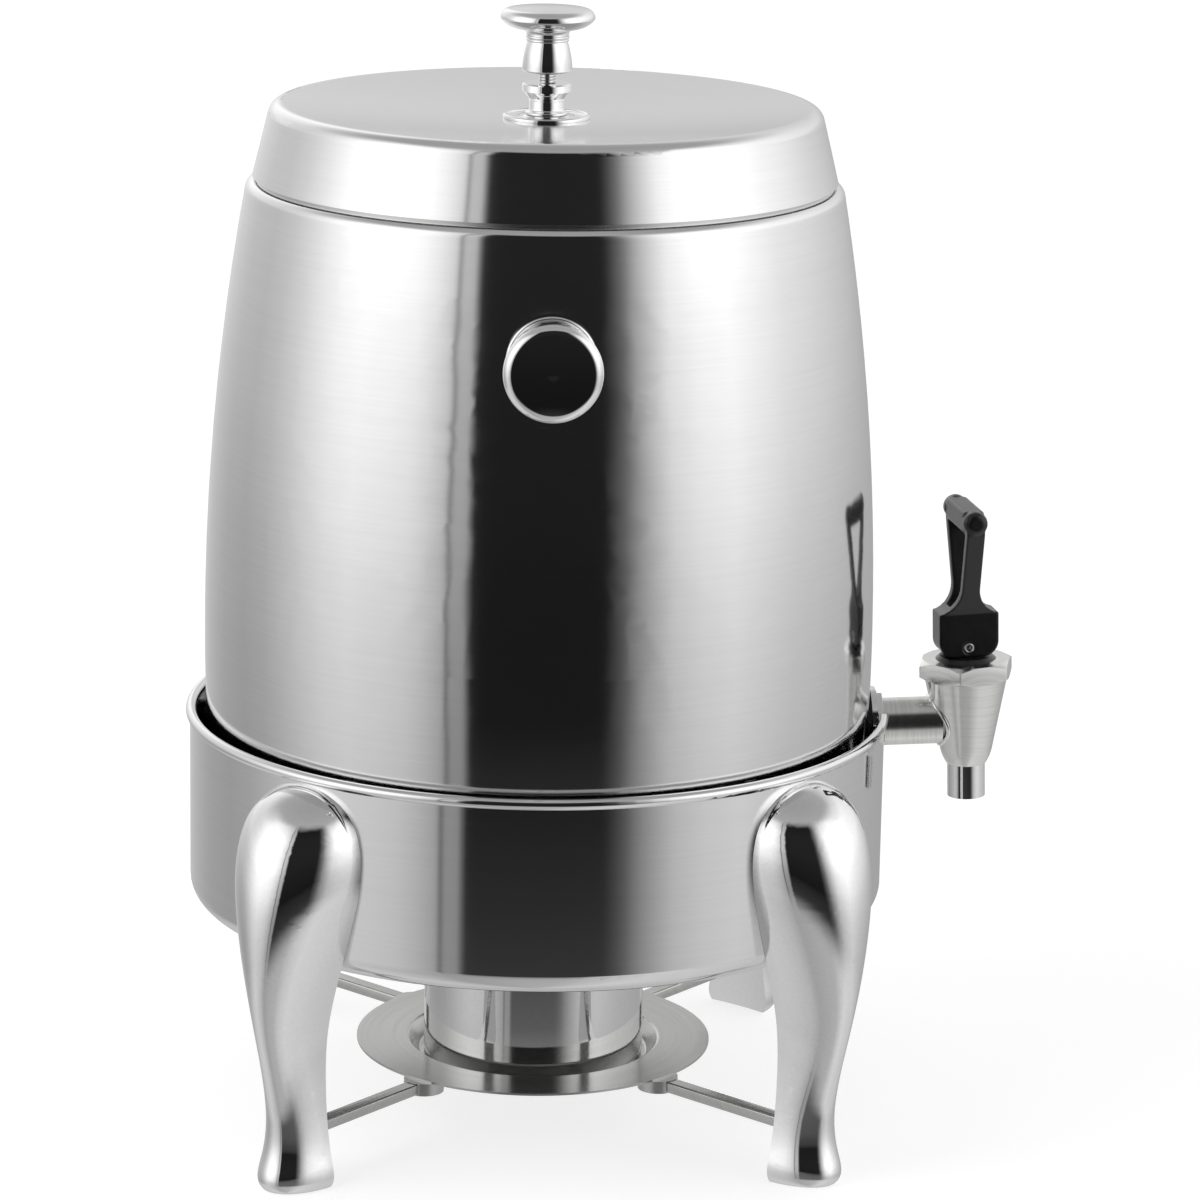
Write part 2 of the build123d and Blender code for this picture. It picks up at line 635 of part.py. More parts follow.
def tap_inner_seal():
    seal = on_thread(cylinder(SEAL_R, LOCK_NUT_FACE, TANK_R))
    return seal & tank_blank(SHEET + BEDDING)


def tap_body():
    slope = (BODY_TOP - BODY_WAIST_Z, BODY_TOP_R - BODY_WAIST_R)
    waist, foot = (BODY_WAIST_R, BODY_WAIST_Z), (BODY_BASE_R, BODY_BASE)
    lower = TangentArc(waist, foot, tangent=(-slope[1], -slope[0]))
    cone = Line(waist, (BODY_TOP_R, BODY_TOP))
    top, axis = Line((BODY_TOP_R, BODY_TOP), (0, BODY_TOP)), Line((0, BODY_TOP), (0, BODY_BASE))
    solid = turned(lower, cone, top, axis, Line((0, BODY_BASE), foot))
    chamber_top = BODY_TOP - SPIGOT_H - 0.5
    solid -= turned_points((0, SEAT_Z), (CHAMBER_LOW_R, SEAT_Z), (CHAMBER_R, chamber_top),
                           (CHAMBER_R, BODY_TOP + 1), (0, BODY_TOP + 1))
    solid -= cylinder(OUTLET_R, BODY_BASE - 1, SEAT_Z + 1)
    solid -= cylinder(SPOUT_SPIGOT_R + FIT, BODY_BASE - 1, BODY_BASE + SPOUT_SPIGOT_H + 0.1)
    socket = on_shank(cylinder(SHANK_R + FIT, TAP_X - BODY_TOP_R - 5, SHANK_END))
    return at_tap(solid) - socket - on_shank(cylinder(SHANK_BORE, SHANK_END - 1, TAP_X))


def tap_spout():
    tube = cylinder(SPOUT_R, SPOUT_LOW, BODY_BASE)
    spigot = cylinder(SPOUT_SPIGOT_R, BODY_BASE - 1, BODY_BASE + SPOUT_SPIGOT_H)
    return at_tap(tube + spigot - cylinder(SPOUT_BORE, SPOUT_LOW - 1, BODY_TOP))


def tap_bonnet():
    flats = 2 * BONNET_CORNER * cos(radians(30))
    drawn = Rot(0, 0, BONNET_TURN) * hexagon(flats, BODY_TOP, BONNET_TOP)
    wide, narrow = BONNET_CORNER + 0.1, BONNET_CORNER - BONNET_CHAMFER
    drop = (wide - narrow) * tan(radians(30))
    drawn &= turned_points((0, BODY_TOP), (narrow, BODY_TOP), (wide, BODY_TOP + drop),
                           (wide, BONNET_TOP - drop), (narrow, BONNET_TOP), (0, BONNET_TOP))
    spigot = cylinder(CHAMBER_R - FIT, BODY_TOP - SPIGOT_H, BODY_TOP + 1)
    return at_tap(drawn + spigot - cylinder(STEM_R + LOOSE, BODY_TOP - 10, BONNET_TOP + 1))


def tap_bonnet_washer():
    cone = turned_points((0, BONNET_TOP), (ROCKER_LOW_R, BONNET_TOP), (ROCKER_TOP_R, ROCKER_TOP), (0, ROCKER_TOP))
    return at_tap(cone - cylinder(STEM_R + LOOSE + 0.1, BONNET_TOP - 1, ROCKER_TOP + 1))


def tap_seat_cup():
    low, r = SEAT_Z + SEAT, PLUG_R
    cup = turned_points((0, low), (r - 0.6, low), (r, low + 0.8), (r - 0.5, PLUG_TOP - 1.5),
                        (r - 2.0, PLUG_TOP), (0, PLUG_TOP))
    return at_tap(cup - cylinder(STEM_R + RUNNING, STEM_FOOT - RUNNING, PLUG_TOP + 1))


def twisted(piece):
    return Rot(0, 0, LEVER_TWIST) * piece


def along_y(shape):
    return Rot(90, 0, 0) * shape


def tap_stem():
    eye = Pos(0, 0, PIN_Z) * along_y(cylinder(EYE_R, -EYE_W / 2, EYE_W / 2))
    bore = Pos(0, 0, PIN_Z) * along_y(cylinder(PIN_R + RUNNING, -EYE_W, EYE_W))
    return at_tap(twisted(cylinder(STEM_R, STEM_FOOT, PIN_Z) + eye - bore))


def tap_spring():
    low = PLUG_TOP + SPRING_WIRE + SEAT
    high = BODY_TOP - SPIGOT_H - SPRING_WIRE - SEAT
    coil = Helix(pitch=(high - low) / SPRING_TURNS, height=high - low, radius=SPRING_R)
    wire = sweep(Plane(origin=coil @ 0, z_dir=coil % 0) * Circle(SPRING_WIRE), path=coil, is_frenet=True)
    return at_tap(Pos(0, 0, low) * wire)


def lever_front():
    """Lever seen along its pin: base with rounded heels, slim arm and round grip."""
    low, heel = -LEVER_DROP, LEVER_HALF - LEVER_HEEL
    sole = Line((0, low), (heel, low))
    corner = (LEVER_HALF - LEVER_HEEL * (1 - cos(radians(45))), low + LEVER_HEEL * (1 - cos(radians(45))))
    rounding = ThreePointArc((heel, low), corner, (LEVER_HALF, low + LEVER_HEEL))
    side = Line((LEVER_HALF, low + LEVER_HEEL), (LEVER_HALF, LEVER_BASE_TOP))
    flare = RadiusArc((LEVER_HALF, LEVER_BASE_TOP), (LEVER_ARM, LEVER_ARM_LOW), LEVER_FLARE)
    arm = Polyline((LEVER_ARM, LEVER_ARM_LOW), (LEVER_ARM, GRIP_Z), (0, GRIP_Z), (0, low))
    half = make_face(Curve() + [sole, rounding, side, flare, *arm.edges()])
    return half + mirror(half, Plane.YZ)


def lever_side():
    """Lever seen across its pin: base, two spreading arms and the open window between them."""
    bar_low, arm_y = GRIP_Z - GRIP_R, GRIP_HALF - ARM_INSET
    outer = make_face(Polyline((0, -LEVER_DROP), (LEVER_BASE_Y, -LEVER_DROP), (LEVER_BASE_Y, LEVER_BASE_TOP),
                               (arm_y, bar_low), (arm_y, GRIP_Z), (0, GRIP_Z), close=True))
    high_y = arm_y - ARM_T
    window = make_face(Polyline((0, WINDOW_LOW), (WINDOW_LOW_Y, WINDOW_LOW), (high_y, bar_low + 0.1),
                                (0, bar_low + 0.1), close=True))
    half = outer - window
    return half + mirror(half, Plane.YZ)


def tap_lever():
    front = extrude(Plane.XZ * lever_front(), GRIP_HALF, both=True)
    side = extrude(Plane.YZ * lever_side(), LEVER_HALF, both=True)
    bar = cylinder(GRIP_R, -GRIP_HALF, GRIP_HALF)
    bar = fillet(bar.edges().filter_by(GeomType.CIRCLE), GRIP_EDGE)
    lever = (front & side) + Pos(0, 0, GRIP_Z) * along_y(bar)
    slot_low = -LEVER_DROP - 1
    lever -= Pos(0, 0, slot_low) * Box(2 * SLOT_HALF, EYE_W + 2 * LOOSE, SLOT_TOP - slot_low,
                                       align=(Align.CENTER, Align.CENTER, Align.MIN))
    lever -= along_y(cylinder(PIN_R + FIT, -BIG, BIG))
    return at_tap(twisted(Pos(0, 0, PIN_Z) * lever))


def lever_pin():
    half = LEVER_BASE_Y - 0.2
    return at_tap(twisted(Pos(0, 0, PIN_Z) * along_y(ring(PIN_R, PIN_BORE, -half, half))))


# --- the whole ----------------------------------------------------------------------------
def stand_parts():
    front_right, front_left, rear_right, rear_left = around(leg_angles(), leg())
    screws, washers = [], []
    for height in SCREW_HEIGHTS:
        screws += around(leg_angles(), leg_screw(height))
        washers += around(leg_angles(), leg_screw_washer(height))
    return {
        "stand_collar": collar(),
        "leg_front_right": front_right,
        "leg_front_left": front_left,
        "leg_rear_right": rear_right,
        "leg_rear_left": rear_left,
        "leg_screws": screws,
        "leg_screw_washers": washers,
        "burner_tray": burner_tray(),
        "tray_bosses": around(leg_angles(), tray_boss()),
        "brace_bars": around(leg_angles(), brace_bar()),
    }


def burner_parts():
    return {
        "fuel_cup": fuel_cup(),
        "fuel_cup_cover": fuel_cup_cover(),
        "flame_damper": flame_damper(),
        "damper_pivot": damper_pivot(),
        "damper_knob": damper_knob(),
    }


def barrel_parts():
    nut = Pos(0, 0, SIDE_NUT_FACE - SIDE_SEAT) * knob_nut(0)
    return {
        "barrel_shell": barrel_shell(),
        "barrel_base_ring": barrel_base_ring(),
        "barrel_top_ring": barrel_top_ring(),
        "tank_wall": tank_wall(),
        "tank_floor": tank_floor(),
        "heat_skirt": heat_skirt(),
        "side_knob_left": side_knob(-1),
        "side_knob_right": side_knob(1),
        "side_rosettes": [side_rosette(side) for side in (-1, 1)],
        "side_knob_studs": [side_stud(side) for side in (-1, 1)],
        "side_knob_washers": [side_washer(side) for side in (-1, 1)],
        "side_knob_nuts": [side_place(side) * nut for side in (-1, 1)],
    }


def tap_parts():
    jam_low = FLANGE_BACK + FLANGE_T
    flange = cylinder(FLANGE_R, FLANGE_BACK, jam_low)
    jam_nut = hexagon(JAM_NUT_FLATS, jam_low, jam_low + JAM_NUT_T)
    lock_nut = hexagon(LOCK_NUT_FLATS, LOCK_NUT_FACE - LOCK_NUT_T, LOCK_NUT_FACE)
    return {
        "tap_shank": tap_shank(),
        "tap_flange": on_thread(flange),
        "tap_jam_nut": on_thread(jam_nut),
        "tap_outer_seal": tap_outer_seal(),
        "tap_inner_seal": tap_inner_seal(),
        "tap_lock_nut": on_thread(lock_nut),
        "tap_body": tap_body(),
        "tap_spout": tap_spout(),
        "tap_bonnet": tap_bonnet(),
        "tap_bonnet_washer": tap_bonnet_washer(),
        "tap_spring": tap_spring(),
        "tap_seat_cup": tap_seat_cup(),
        "tap_stem": tap_stem(),
        "tap_lever": tap_lever(),
        "lever_pin": lever_pin(),
    }


def lid_parts():
    shells = {"lid_shell": lid_shell(), "lid_liner": lid_liner(), "lid_gasket": lid_gasket()}
    return {**shells, **lid_stack()}


def main():
    os.makedirs("parts", exist_ok=True)
    nodes = {**stand_parts(), **burner_parts(), **barrel_parts(), **tap_parts(), **lid_parts()}
    for name, shape in nodes.items():
        pieces = shape if isinstance(shape, list) else [shape]
        solids = [solid for piece in pieces for solid in (CENTRING * piece).solids()]
        export_step(Compound(solids), f"parts/{name}.step")
    print(len(nodes), "nodes, moved along X by", round(CENTRING.position.X, 3))


main()
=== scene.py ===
"""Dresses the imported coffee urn: lever, tap trim, threads, metal finishes and a studio stage."""

from math import atan2, cos, hypot, pi, radians, sin

import bpy
from bpy.props import FloatProperty, FloatVectorProperty, PointerProperty
from mathutils import Matrix, Vector


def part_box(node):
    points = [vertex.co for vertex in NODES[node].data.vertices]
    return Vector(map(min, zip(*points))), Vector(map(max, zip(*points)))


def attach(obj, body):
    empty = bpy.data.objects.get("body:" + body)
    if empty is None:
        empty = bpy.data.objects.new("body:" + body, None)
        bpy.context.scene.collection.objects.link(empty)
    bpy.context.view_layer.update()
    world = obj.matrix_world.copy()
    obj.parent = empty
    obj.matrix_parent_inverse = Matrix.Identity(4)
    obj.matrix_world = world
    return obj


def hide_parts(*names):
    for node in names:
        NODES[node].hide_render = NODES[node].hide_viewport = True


bl_info = {
    "name": "Coffee urn dressing",
    "version": (1, 0, 0),
    "blender": (4, 5, 0),
    "location": "View3D > Sidebar > Urn",
    "description": "Tap, knob and tray pieces, metal finishes and a studio stage for an urn",
    "category": "Object",
}

MM = 0.001
MERGE, THREAD_MERGE = 0.002 * MM, 0.0001 * MM
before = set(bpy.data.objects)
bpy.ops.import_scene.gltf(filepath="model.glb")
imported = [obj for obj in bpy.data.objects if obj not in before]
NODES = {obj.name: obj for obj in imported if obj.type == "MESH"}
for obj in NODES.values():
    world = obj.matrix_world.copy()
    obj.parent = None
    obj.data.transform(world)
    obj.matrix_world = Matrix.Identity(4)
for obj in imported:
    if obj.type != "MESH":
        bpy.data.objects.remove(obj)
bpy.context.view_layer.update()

BARREL_LOW, BARREL_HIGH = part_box("barrel_shell")
AXIS_X = (BARREL_LOW.x + BARREL_HIGH.x) / 2
AXIS = (AXIS_X, 0, 0)

# The tap stands on a shank that leaves the barrel's wall at this radius and height, leaning back.
TAP_LEAN = radians(2.2)
WALL_AT_TAP, TAP_Z, TAP_REACH = 147.742, 173.6, 45.358
PIN_Z, LEVER_TURN = 34.4, radians(7)

# The camera stands to the left of the barrel's axis, back from it and above the floor, in metres.
CAMERA_LEFT, CAMERA_BACK, CAMERA_UP = 0.09877, 2.09444, 0.75564

# Tints of the metals, the plastic and the rubber that have no setting of their own.
# The satin tint is the satin steel's own colour darkened with painted shade: the shade that falls
# under the tray, painted on the tray, its bars and their bosses.
SATIN_AND_SHADE_TINT, TANK_TINT, TAP_TINT = (0.56, 0.56, 0.55), (0.68, 0.68, 0.67), (0.84, 0.84, 0.83)
CUP_TINT, FASTENER_TINT = (0.74, 0.74, 0.74), (0.7, 0.7, 0.69)
PLASTIC_TINT, RUBBER_TINT = (0.011, 0.011, 0.011), (0.05, 0.05, 0.05)

# CAD nodes that each finish covers.
COVERS = {
    "barrel_steel": ("barrel_shell", "barrel_base_ring", "barrel_top_ring", "lid_shell"),
    "collar_steel": ("stand_collar",),
    "satin_steel": ("burner_tray", "brace_bars", "tray_bosses"),
    "tank_steel": ("tank_wall", "tank_floor", "heat_skirt", "lid_liner"),
    "tap_steel": ("tap_body", "tap_bonnet"),
    "shank_steel": ("tap_shank",),
    "chrome": ("leg_front_left", "leg_front_right", "leg_rear_left", "leg_rear_right",
               "side_knob_left", "side_knob_right", "side_rosettes", "lid_rosette",
               "lid_knob_base", "lid_knob", "tap_flange", "tap_spout", "tap_jam_nut"),
    "cup_steel": ("fuel_cup", "fuel_cup_cover", "flame_damper"),
    "fastener_steel": ("leg_screws", "leg_screw_washers", "side_knob_studs", "side_knob_washers",
                       "side_knob_nuts", "lid_knob_stud", "lid_knob_washer", "lid_knob_nut",
                       "damper_pivot", "tap_lock_nut", "tap_stem", "lever_pin", "tap_spring"),
    "black_plastic": ("tap_lever", "tap_bonnet_washer", "damper_knob"),
    "seal_rubber": ("tap_outer_seal", "tap_inner_seal", "tap_seat_cup", "lid_gasket"),
}

# Noise steps per metre in a brushed finish: along the scratches, then across them.
GRAIN_ROUND_Z, GRAIN_ROUND_X = (30, 3800), (60, 4200)
COARSE_GRAIN = (0.3, 0.3, 0.12)

# Light round the urn, from (degrees, level) pairs: 0 is towards the camera, 90 to its right.
# Two wide soft lights stand at the sides, and a dark panel in front with a grey strip at its left.
ROUND_LIGHT = [
    (-180, .46), (-176, .56), (-171, .78), (-165, .76), (-137, .56), (-121, .51), (-108, .56),
    (-97, .68), (-87, .82), (-78, .94), (-68, 1.0), (-54, .93), (-46, .86), (-39, .72), (-33, .56),
    (-31.8, .5), (-31.3, .16), (-30.7, .14), (-30.2, .42), (-25, .40), (-24.2, .3), (-23.6, .012),
    (22, .012), (25, .05), (29, .13), (34, .34), (39, .52), (46, .76), (57, .92), (70, 1.0),
    (97, .8), (180, .46)]
# Light from the table, below the panel, in the same way.
TABLE_LIGHT = [
    (-180, .66), (-120, .78), (-75, .82), (-45, .62), (-30, .44), (-6, .52), (10, .56), (26, .76),
    (42, .9), (79, .82), (120, .76), (180, .66)]
# How the light fades up and down, from (rise, level) pairs: -1 is straight down, 1 straight up.
RISE = [
    (-1, .74), (-.5, .68), (-.4, .56), (-.32, .58), (-.24, .64), (-.17, .72), (-.1, .84), (0, .96),
    (.1, 1.0), (.5, 1.0), (.8, .7), (1, .6)]
# Rises between which the panel starts and ends, the sky takes over from the table, and a band of
# brighter light comes and goes.
PANEL_FOOT, PANEL_HEAD, SKY_FROM = (-0.56, -0.36), (0.68, 0.84), (0.2, 0.3)
BAND_FROM, BAND_TO, BAND_GAIN = (0.0, 0.2), (0.5, 0.8), 0.22
SKY_LIGHT, WORLD_GAIN = 0.5, 1.24

# Painted light on the floor that only metal sees: a pool of glow round the urn that fades out by
# about half a metre, by (metres from the axis, share) pairs.
NEAR_FLOOR_PAINTED_LIGHT = [(0, .6), (.19, .5), (.27, .25), (.47, .1), (.82, .04), (1.3, 0)]
FLOOR_SIZE, FLOOR_DROP, FLOOR_GREY = 14, 0.0002, 0.4
# The first glow whitens the floor for the camera. The second is painted light: the glow that metal
# sees on the floor near the urn.
FLOOR_GLOW, PAINTED_POOL_GLOW = 0.74, 0.5

LAMP_PLACE, LAMP_AIM = (-1.5, -0.7, 2.2), Vector((0, 0, 0.25))
LAMP_SIZE, LAMP_POWER = 1.4, 14


# --- places ---------------------------------------------------------------------------------
def moved(x, y, z):
    """Matrix that moves by millimetres."""
    return Matrix.Translation((x * MM, y * MM, z * MM))


ON_SHANK = (Matrix.Translation(AXIS) @ moved(WALL_AT_TAP, 0, TAP_Z)
            @ Matrix.Rotation(-TAP_LEAN, 4, "Y"))
AT_TAP = ON_SHANK @ moved(TAP_REACH, 0, 0)
AT_PIN = AT_TAP @ Matrix.Rotation(LEVER_TURN, 4, "Z") @ moved(0, 0, PIN_Z)
ALONG_Y = Matrix.Rotation(-pi / 2, 4, "X")
ALONG_X = Matrix.Rotation(pi / 2, 4, "Y")


# --- shaping --------------------------------------------------------------------------------
def deselect():
    """Leave edit mode and select nothing."""
    if bpy.context.object and bpy.context.object.mode != "OBJECT":
        bpy.ops.object.mode_set(mode="OBJECT")
    bpy.ops.object.select_all(action="DESELECT")


def pick(piece):
    """Make a piece the only selected one."""
    deselect()
    piece.select_set(True)
    bpy.context.view_layer.objects.active = piece


def settle(piece, place=None):
    """Move a piece by a matrix, if one is given, and leave its object at the origin."""
    pick(piece)
    if place is not None:
        piece.matrix_world = place @ piece.matrix_world
    bpy.ops.object.transform_apply(location=True, rotation=True, scale=True)
    return piece


def raised(name, sections, steps=4):
    """Column drawn up Z through sections of two half widths and a height, in millimetres."""
    deselect()
    if steps == 4:
        bpy.ops.mesh.primitive_plane_add(size=2, enter_editmode=True)
    else:
        bpy.ops.mesh.primitive_circle_add(vertices=steps, radius=1, fill_type="NGON",
                                          enter_editmode=True)
    wide, deep, high = sections[0]
    bpy.ops.transform.resize(value=(wide * MM, deep * MM, 1), center_override=(0, 0, 0))
    bpy.ops.transform.translate(value=(0, 0, high * MM))
    for (wide, deep, high), (next_wide, next_deep, next_high) in zip(sections, sections[1:]):
        step = (0, 0, (next_high - high) * MM)
        bpy.ops.mesh.extrude_region_move(TRANSFORM_OT_translate={"value": step})
        bpy.ops.transform.resize(value=(next_wide / wide, next_deep / deep, 1),
                                 center_override=(0, 0, next_high * MM))
    bpy.ops.mesh.select_all(action="SELECT")
    bpy.ops.mesh.normals_make_consistent(inside=False)
    bpy.ops.object.mode_set(mode="OBJECT")
    piece = bpy.context.object
    piece.name = name
    return piece


def turned(name, profile, steps):
    """Piece turned about Z through radii and heights, in millimetres."""
    return raised(name, [(radius, radius, height) for radius, height in profile], steps)


def copy_of(node, name):
    """Merged copy of a CAD node, to be worked further."""
    piece = bpy.data.objects.new(name, NODES[node].data.copy())
    bpy.context.scene.collection.objects.link(piece)
    piece.data.materials.clear()
    pick(piece)
    bpy.ops.mesh.customdata_custom_splitnormals_clear()
    bpy.ops.object.mode_set(mode="EDIT")
    bpy.ops.mesh.select_all(action="SELECT")
    bpy.ops.mesh.remove_doubles(threshold=MERGE)
    bpy.ops.mesh.normals_make_consistent(inside=False)
    bpy.ops.object.mode_set(mode="OBJECT")
    return piece


def modify(piece, kind, **settings):
    """Add a modifier to a piece and apply it."""
    pick(piece)
    made = piece.modifiers.new(kind.lower(), kind)
    for key, setting in settings.items():
        setattr(made, key, setting)
    bpy.ops.object.modifier_apply(modifier=made.name)
    return piece


def combine(piece, other, operation="UNION"):
    """Join another piece to this one or cut it away, and drop it."""
    modify(piece, "BOOLEAN", object=other, operation=operation, solver="EXACT")
    bpy.data.meshes.remove(other.data)
    return piece


def rounded(piece, width, segments=3, angle=28):
    """Round the edges that are sharper than an angle."""
    return modify(piece, "BEVEL", width=width * MM, segments=segments, limit_method="ANGLE",
                  angle_limit=radians(angle), harden_normals=False)


def smooth(piece, angle=30):
    """Shade a piece smooth, apart from the edges that are sharper than an angle."""
    pick(piece)
    bpy.ops.object.shade_smooth_by_angle(angle=radians(angle))
    return piece


def hand_over(piece, body, slot, finish, *nodes):
    """Give a finished piece its material, its body and the CAD nodes it stands for. The slot is not
    used.
    """
    piece.data.materials.clear()
    piece.data.materials.append(FINISHES[finish])
    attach(piece, body)
    if nodes:
        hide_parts(*nodes)


# --- shader sockets -------------------------------------------------------------------------
class Value:
    """A socket of a node tree. Arithmetic on it adds Math nodes."""

    def __init__(self, tree, socket):
        self.tree, self.socket = tree, socket

    def maths(self, operation, *values):
        """Math node on the given values."""
        return self.tree.node("ShaderNodeMath", {"operation": operation}, values)

    def __add__(self, other):
        return self.maths("ADD", self, other)

    def __radd__(self, other):
        return self.maths("ADD", other, self)

    def __sub__(self, other):
        return self.maths("SUBTRACT", self, other)

    def __rsub__(self, other):
        return self.maths("SUBTRACT", other, self)

    def __mul__(self, other):
        return self.maths("MULTIPLY", self, other)

    def __rmul__(self, other):
        return self.maths("MULTIPLY", other, self)

    def root(self):
        """Square root."""
        return self.maths("SQRT", self)

    def heading(self, other):
        """Angle in radians of the point whose Y is this value and whose X is the other."""
        return self.maths("ARCTAN2", self, other)

    def smooth(self, low, high):
        """Smooth step from 0 to 1 as this value passes between two limits."""
        limits = {"Value": self, "From Min": low, "From Max": high}
        return self.tree.node("ShaderNodeMapRange", {"interpolation_type": "SMOOTHSTEP"}, limits)


class Tree:
    """A node tree, emptied, with one method that adds any node."""

    def __init__(self, owner):
        owner.use_nodes = True
        self.nodes, self.links = owner.node_tree.nodes, owner.node_tree.links
        self.nodes.clear()

    def node(self, kind, settings=None, inputs=(), output=0):
        """Add a node: its settings first, then its sockets' values or links. Returns one output."""
        made = self.nodes.new(kind)
        for key, setting in (settings or {}).items():
            if key == "stops":
                self.set_stops(made.color_ramp, setting)
            else:
                setattr(made, key, setting)
        pairs = inputs.items() if isinstance(inputs, dict) else enumerate(inputs)
        for key, given in pairs:
            if isinstance(given, Value):
                self.links.new(given.socket, made.inputs[key])
            else:
                made.inputs[key].default_value = given
        return Value(self, made.outputs[output]) if made.outputs else None

    @staticmethod
    def set_stops(ramp, stops):
        """Fill a colour ramp from (position, grey value) pairs."""
        while len(ramp.elements) > 1:
            ramp.elements.remove(ramp.elements[-1])
        for count, (place, grey) in enumerate(stops):
            element = ramp.elements[0] if count == 0 else ramp.elements.new(place)
            element.position = place
            element.color = (grey, grey, grey, 1)

    def ramp(self, fac, stops, low, high):
        """Grey level that follows stops, whose places run between two limits."""
        spread = [((place - low) / (high - low), level) for place, level in stops]
        return self.node("ShaderNodeValToRGB", {"stops": spread}, {"Fac": fac})

    def split(self, vector):
        """The three parts of a vector."""
        made = self.nodes.new("ShaderNodeSeparateXYZ")
        self.links.new(vector.socket, made.inputs[0])
        return [Value(self, socket) for socket in made.outputs]

    def join(self, x, y, z):
        """A vector from its three parts."""
        return self.node("ShaderNodeCombineXYZ", None, (x, y, z))

    def noise(self, vector, scale, detail=2.0, roughness=0.5):
        """Noise between 0 and 1 at a vector."""
        sockets = {"Vector": vector, "Scale": scale, "Detail": detail, "Roughness": roughness}
        return self.node("ShaderNodeTexNoise", None, sockets, "Fac")

    def blend(self, mask, first, second):
        """A colour between two, by a mask."""
        colours = {6: (*first, 1), 7: (*second, 1)}
        return self.node("ShaderNodeMix", {"data_type": "RGBA"}, {0: mask, **colours}, 2)


FINISHES = {}


def material(name):
    """Tree of a new material, emptied. FINISHES keeps the material by its name."""
    FINISHES[name] = bpy.data.materials.new("urn_" + name)
    return Tree(FINISHES[name])


def surface(tree, sockets, bump, strength, distance):
    """End a material in a Principled shader, with a height that bumps its normal."""
    height = {"Strength": strength, "Distance": distance, "Height": bump}
    sockets["Normal"] = tree.node("ShaderNodeBump", None, height)
    shader = tree.node("ShaderNodeBsdfPrincipled", None, sockets)
    tree.node("ShaderNodeOutputMaterial", None, {"Surface": shader})


def scaled(colour, share):
    """A colour made darker or lighter."""
    return tuple(share * part for part in colour)


# --- finishes -------------------------------------------------------------------------------
def brushed_steel(name, tint, roughness, spread, centre, about_x=False, contrast=0.04):
    """Stainless steel with fine scratches round an upright axis, or round the X axis."""
    tree = material(name)
    x, y, z = tree.split(tree.node("ShaderNodeTexCoord", output="Object"))
    x, y, z = x - centre[0], y - centre[1], z - centre[2]
    side, length = (z, x) if about_x else (x, z)
    along, across = GRAIN_ROUND_X if about_x else GRAIN_ROUND_Z
    radius = (side * side + y * y).root()
    grain = tree.join(side * along, y * along, (radius + length) * across)
    coarse = tree.node("ShaderNodeMapping", None, {"Vector": grain, "Scale": COARSE_GRAIN})
    fine = tree.noise(grain, scale=1.0, detail=3.0, roughness=0.6)
    scratches = tree.noise(coarse, scale=1.0)
    cloud = tree.noise(tree.join(x, y, z), scale=14.0)
    worn = (fine * 0.6 + scratches * 0.4).smooth(0.3, 0.7)
    sockets = {
        "Base Color": tree.blend(worn, scaled(tint, 1 - contrast), tint),
        "Metallic": 1.0,
        "Roughness": roughness + (fine - 0.5) * 0.05 + (cloud - 0.5) * 0.03,
        "Anisotropic": spread,
        "Anisotropic Rotation": 0.25,
    }
    surface(tree, sockets, fine + scratches * 0.4, strength=0.1, distance=0.00001)


def plated(name, tint, roughness):
    """Chrome plate: a mirror with the faint ripple of polishing."""
    tree = material(name)
    place = tree.node("ShaderNodeTexCoord", output="Object")
    ripples = tree.noise(place, scale=90.0, detail=1.0)
    haze = tree.noise(place, scale=700.0, detail=3.0)
    sockets = {
        "Base Color": tree.blend(haze.smooth(0.3, 0.7), scaled(tint, 0.97), tint),
        "Metallic": 1.0,
        "Roughness": roughness + (haze - 0.5) * 0.03,
    }
    surface(tree, sockets, ripples, strength=0.05, distance=0.0002)


def moulded(name, colour, roughness):
    """Black moulded plastic with a very fine grain and a light rubbing on it."""
    tree = material(name)
    place = tree.node("ShaderNodeTexCoord", output="Object")
    grain = tree.noise(place, scale=4200.0)
    wear = tree.noise(place, scale=160.0, detail=3.0)
    sockets = {
        "Base Color": tree.blend(wear.smooth(0.35, 0.7), colour, scaled(colour, 1.3)),
        "Roughness": roughness + (wear - 0.5) * 0.08 + (grain - 0.5) * 0.05,
        "IOR": 1.5,
    }
    surface(tree, sockets, grain, strength=0.1, distance=0.00003)


def soft_rubber(name, colour, roughness):
    """Matt seal rubber with a grain."""
    tree = material(name)
    place = tree.node("ShaderNodeTexCoord", output="Object")
    grain = tree.noise(place, scale=2400.0, detail=3.0)
    sockets = {
        "Base Color": tree.blend(grain, scaled(colour, 0.8), colour),
        "Roughness": roughness + (grain - 0.5) * 0.1,
    }
    surface(tree, sockets, grain, strength=0.25, distance=0.00006)


# --- settings -------------------------------------------------------------------------------
class UrnMetals(bpy.types.PropertyGroup):
    """Colours and polish of the metals"""

    steel_tint: FloatVectorProperty(
        name="Steel", description="Colour of the barrel, lid and collar",
        subtype="COLOR", size=3, default=(0.80, 0.80, 0.80))
    chrome_tint: FloatVectorProperty(
        name="Chrome", description="Colour of the legs and knobs",
        subtype="COLOR", size=3, default=(0.86, 0.86, 0.86))
    barrel_roughness: FloatProperty(
        name="Barrel roughness", description="Spread of the barrel's reflections",
        subtype="FACTOR", default=0.1, min=0, max=1)


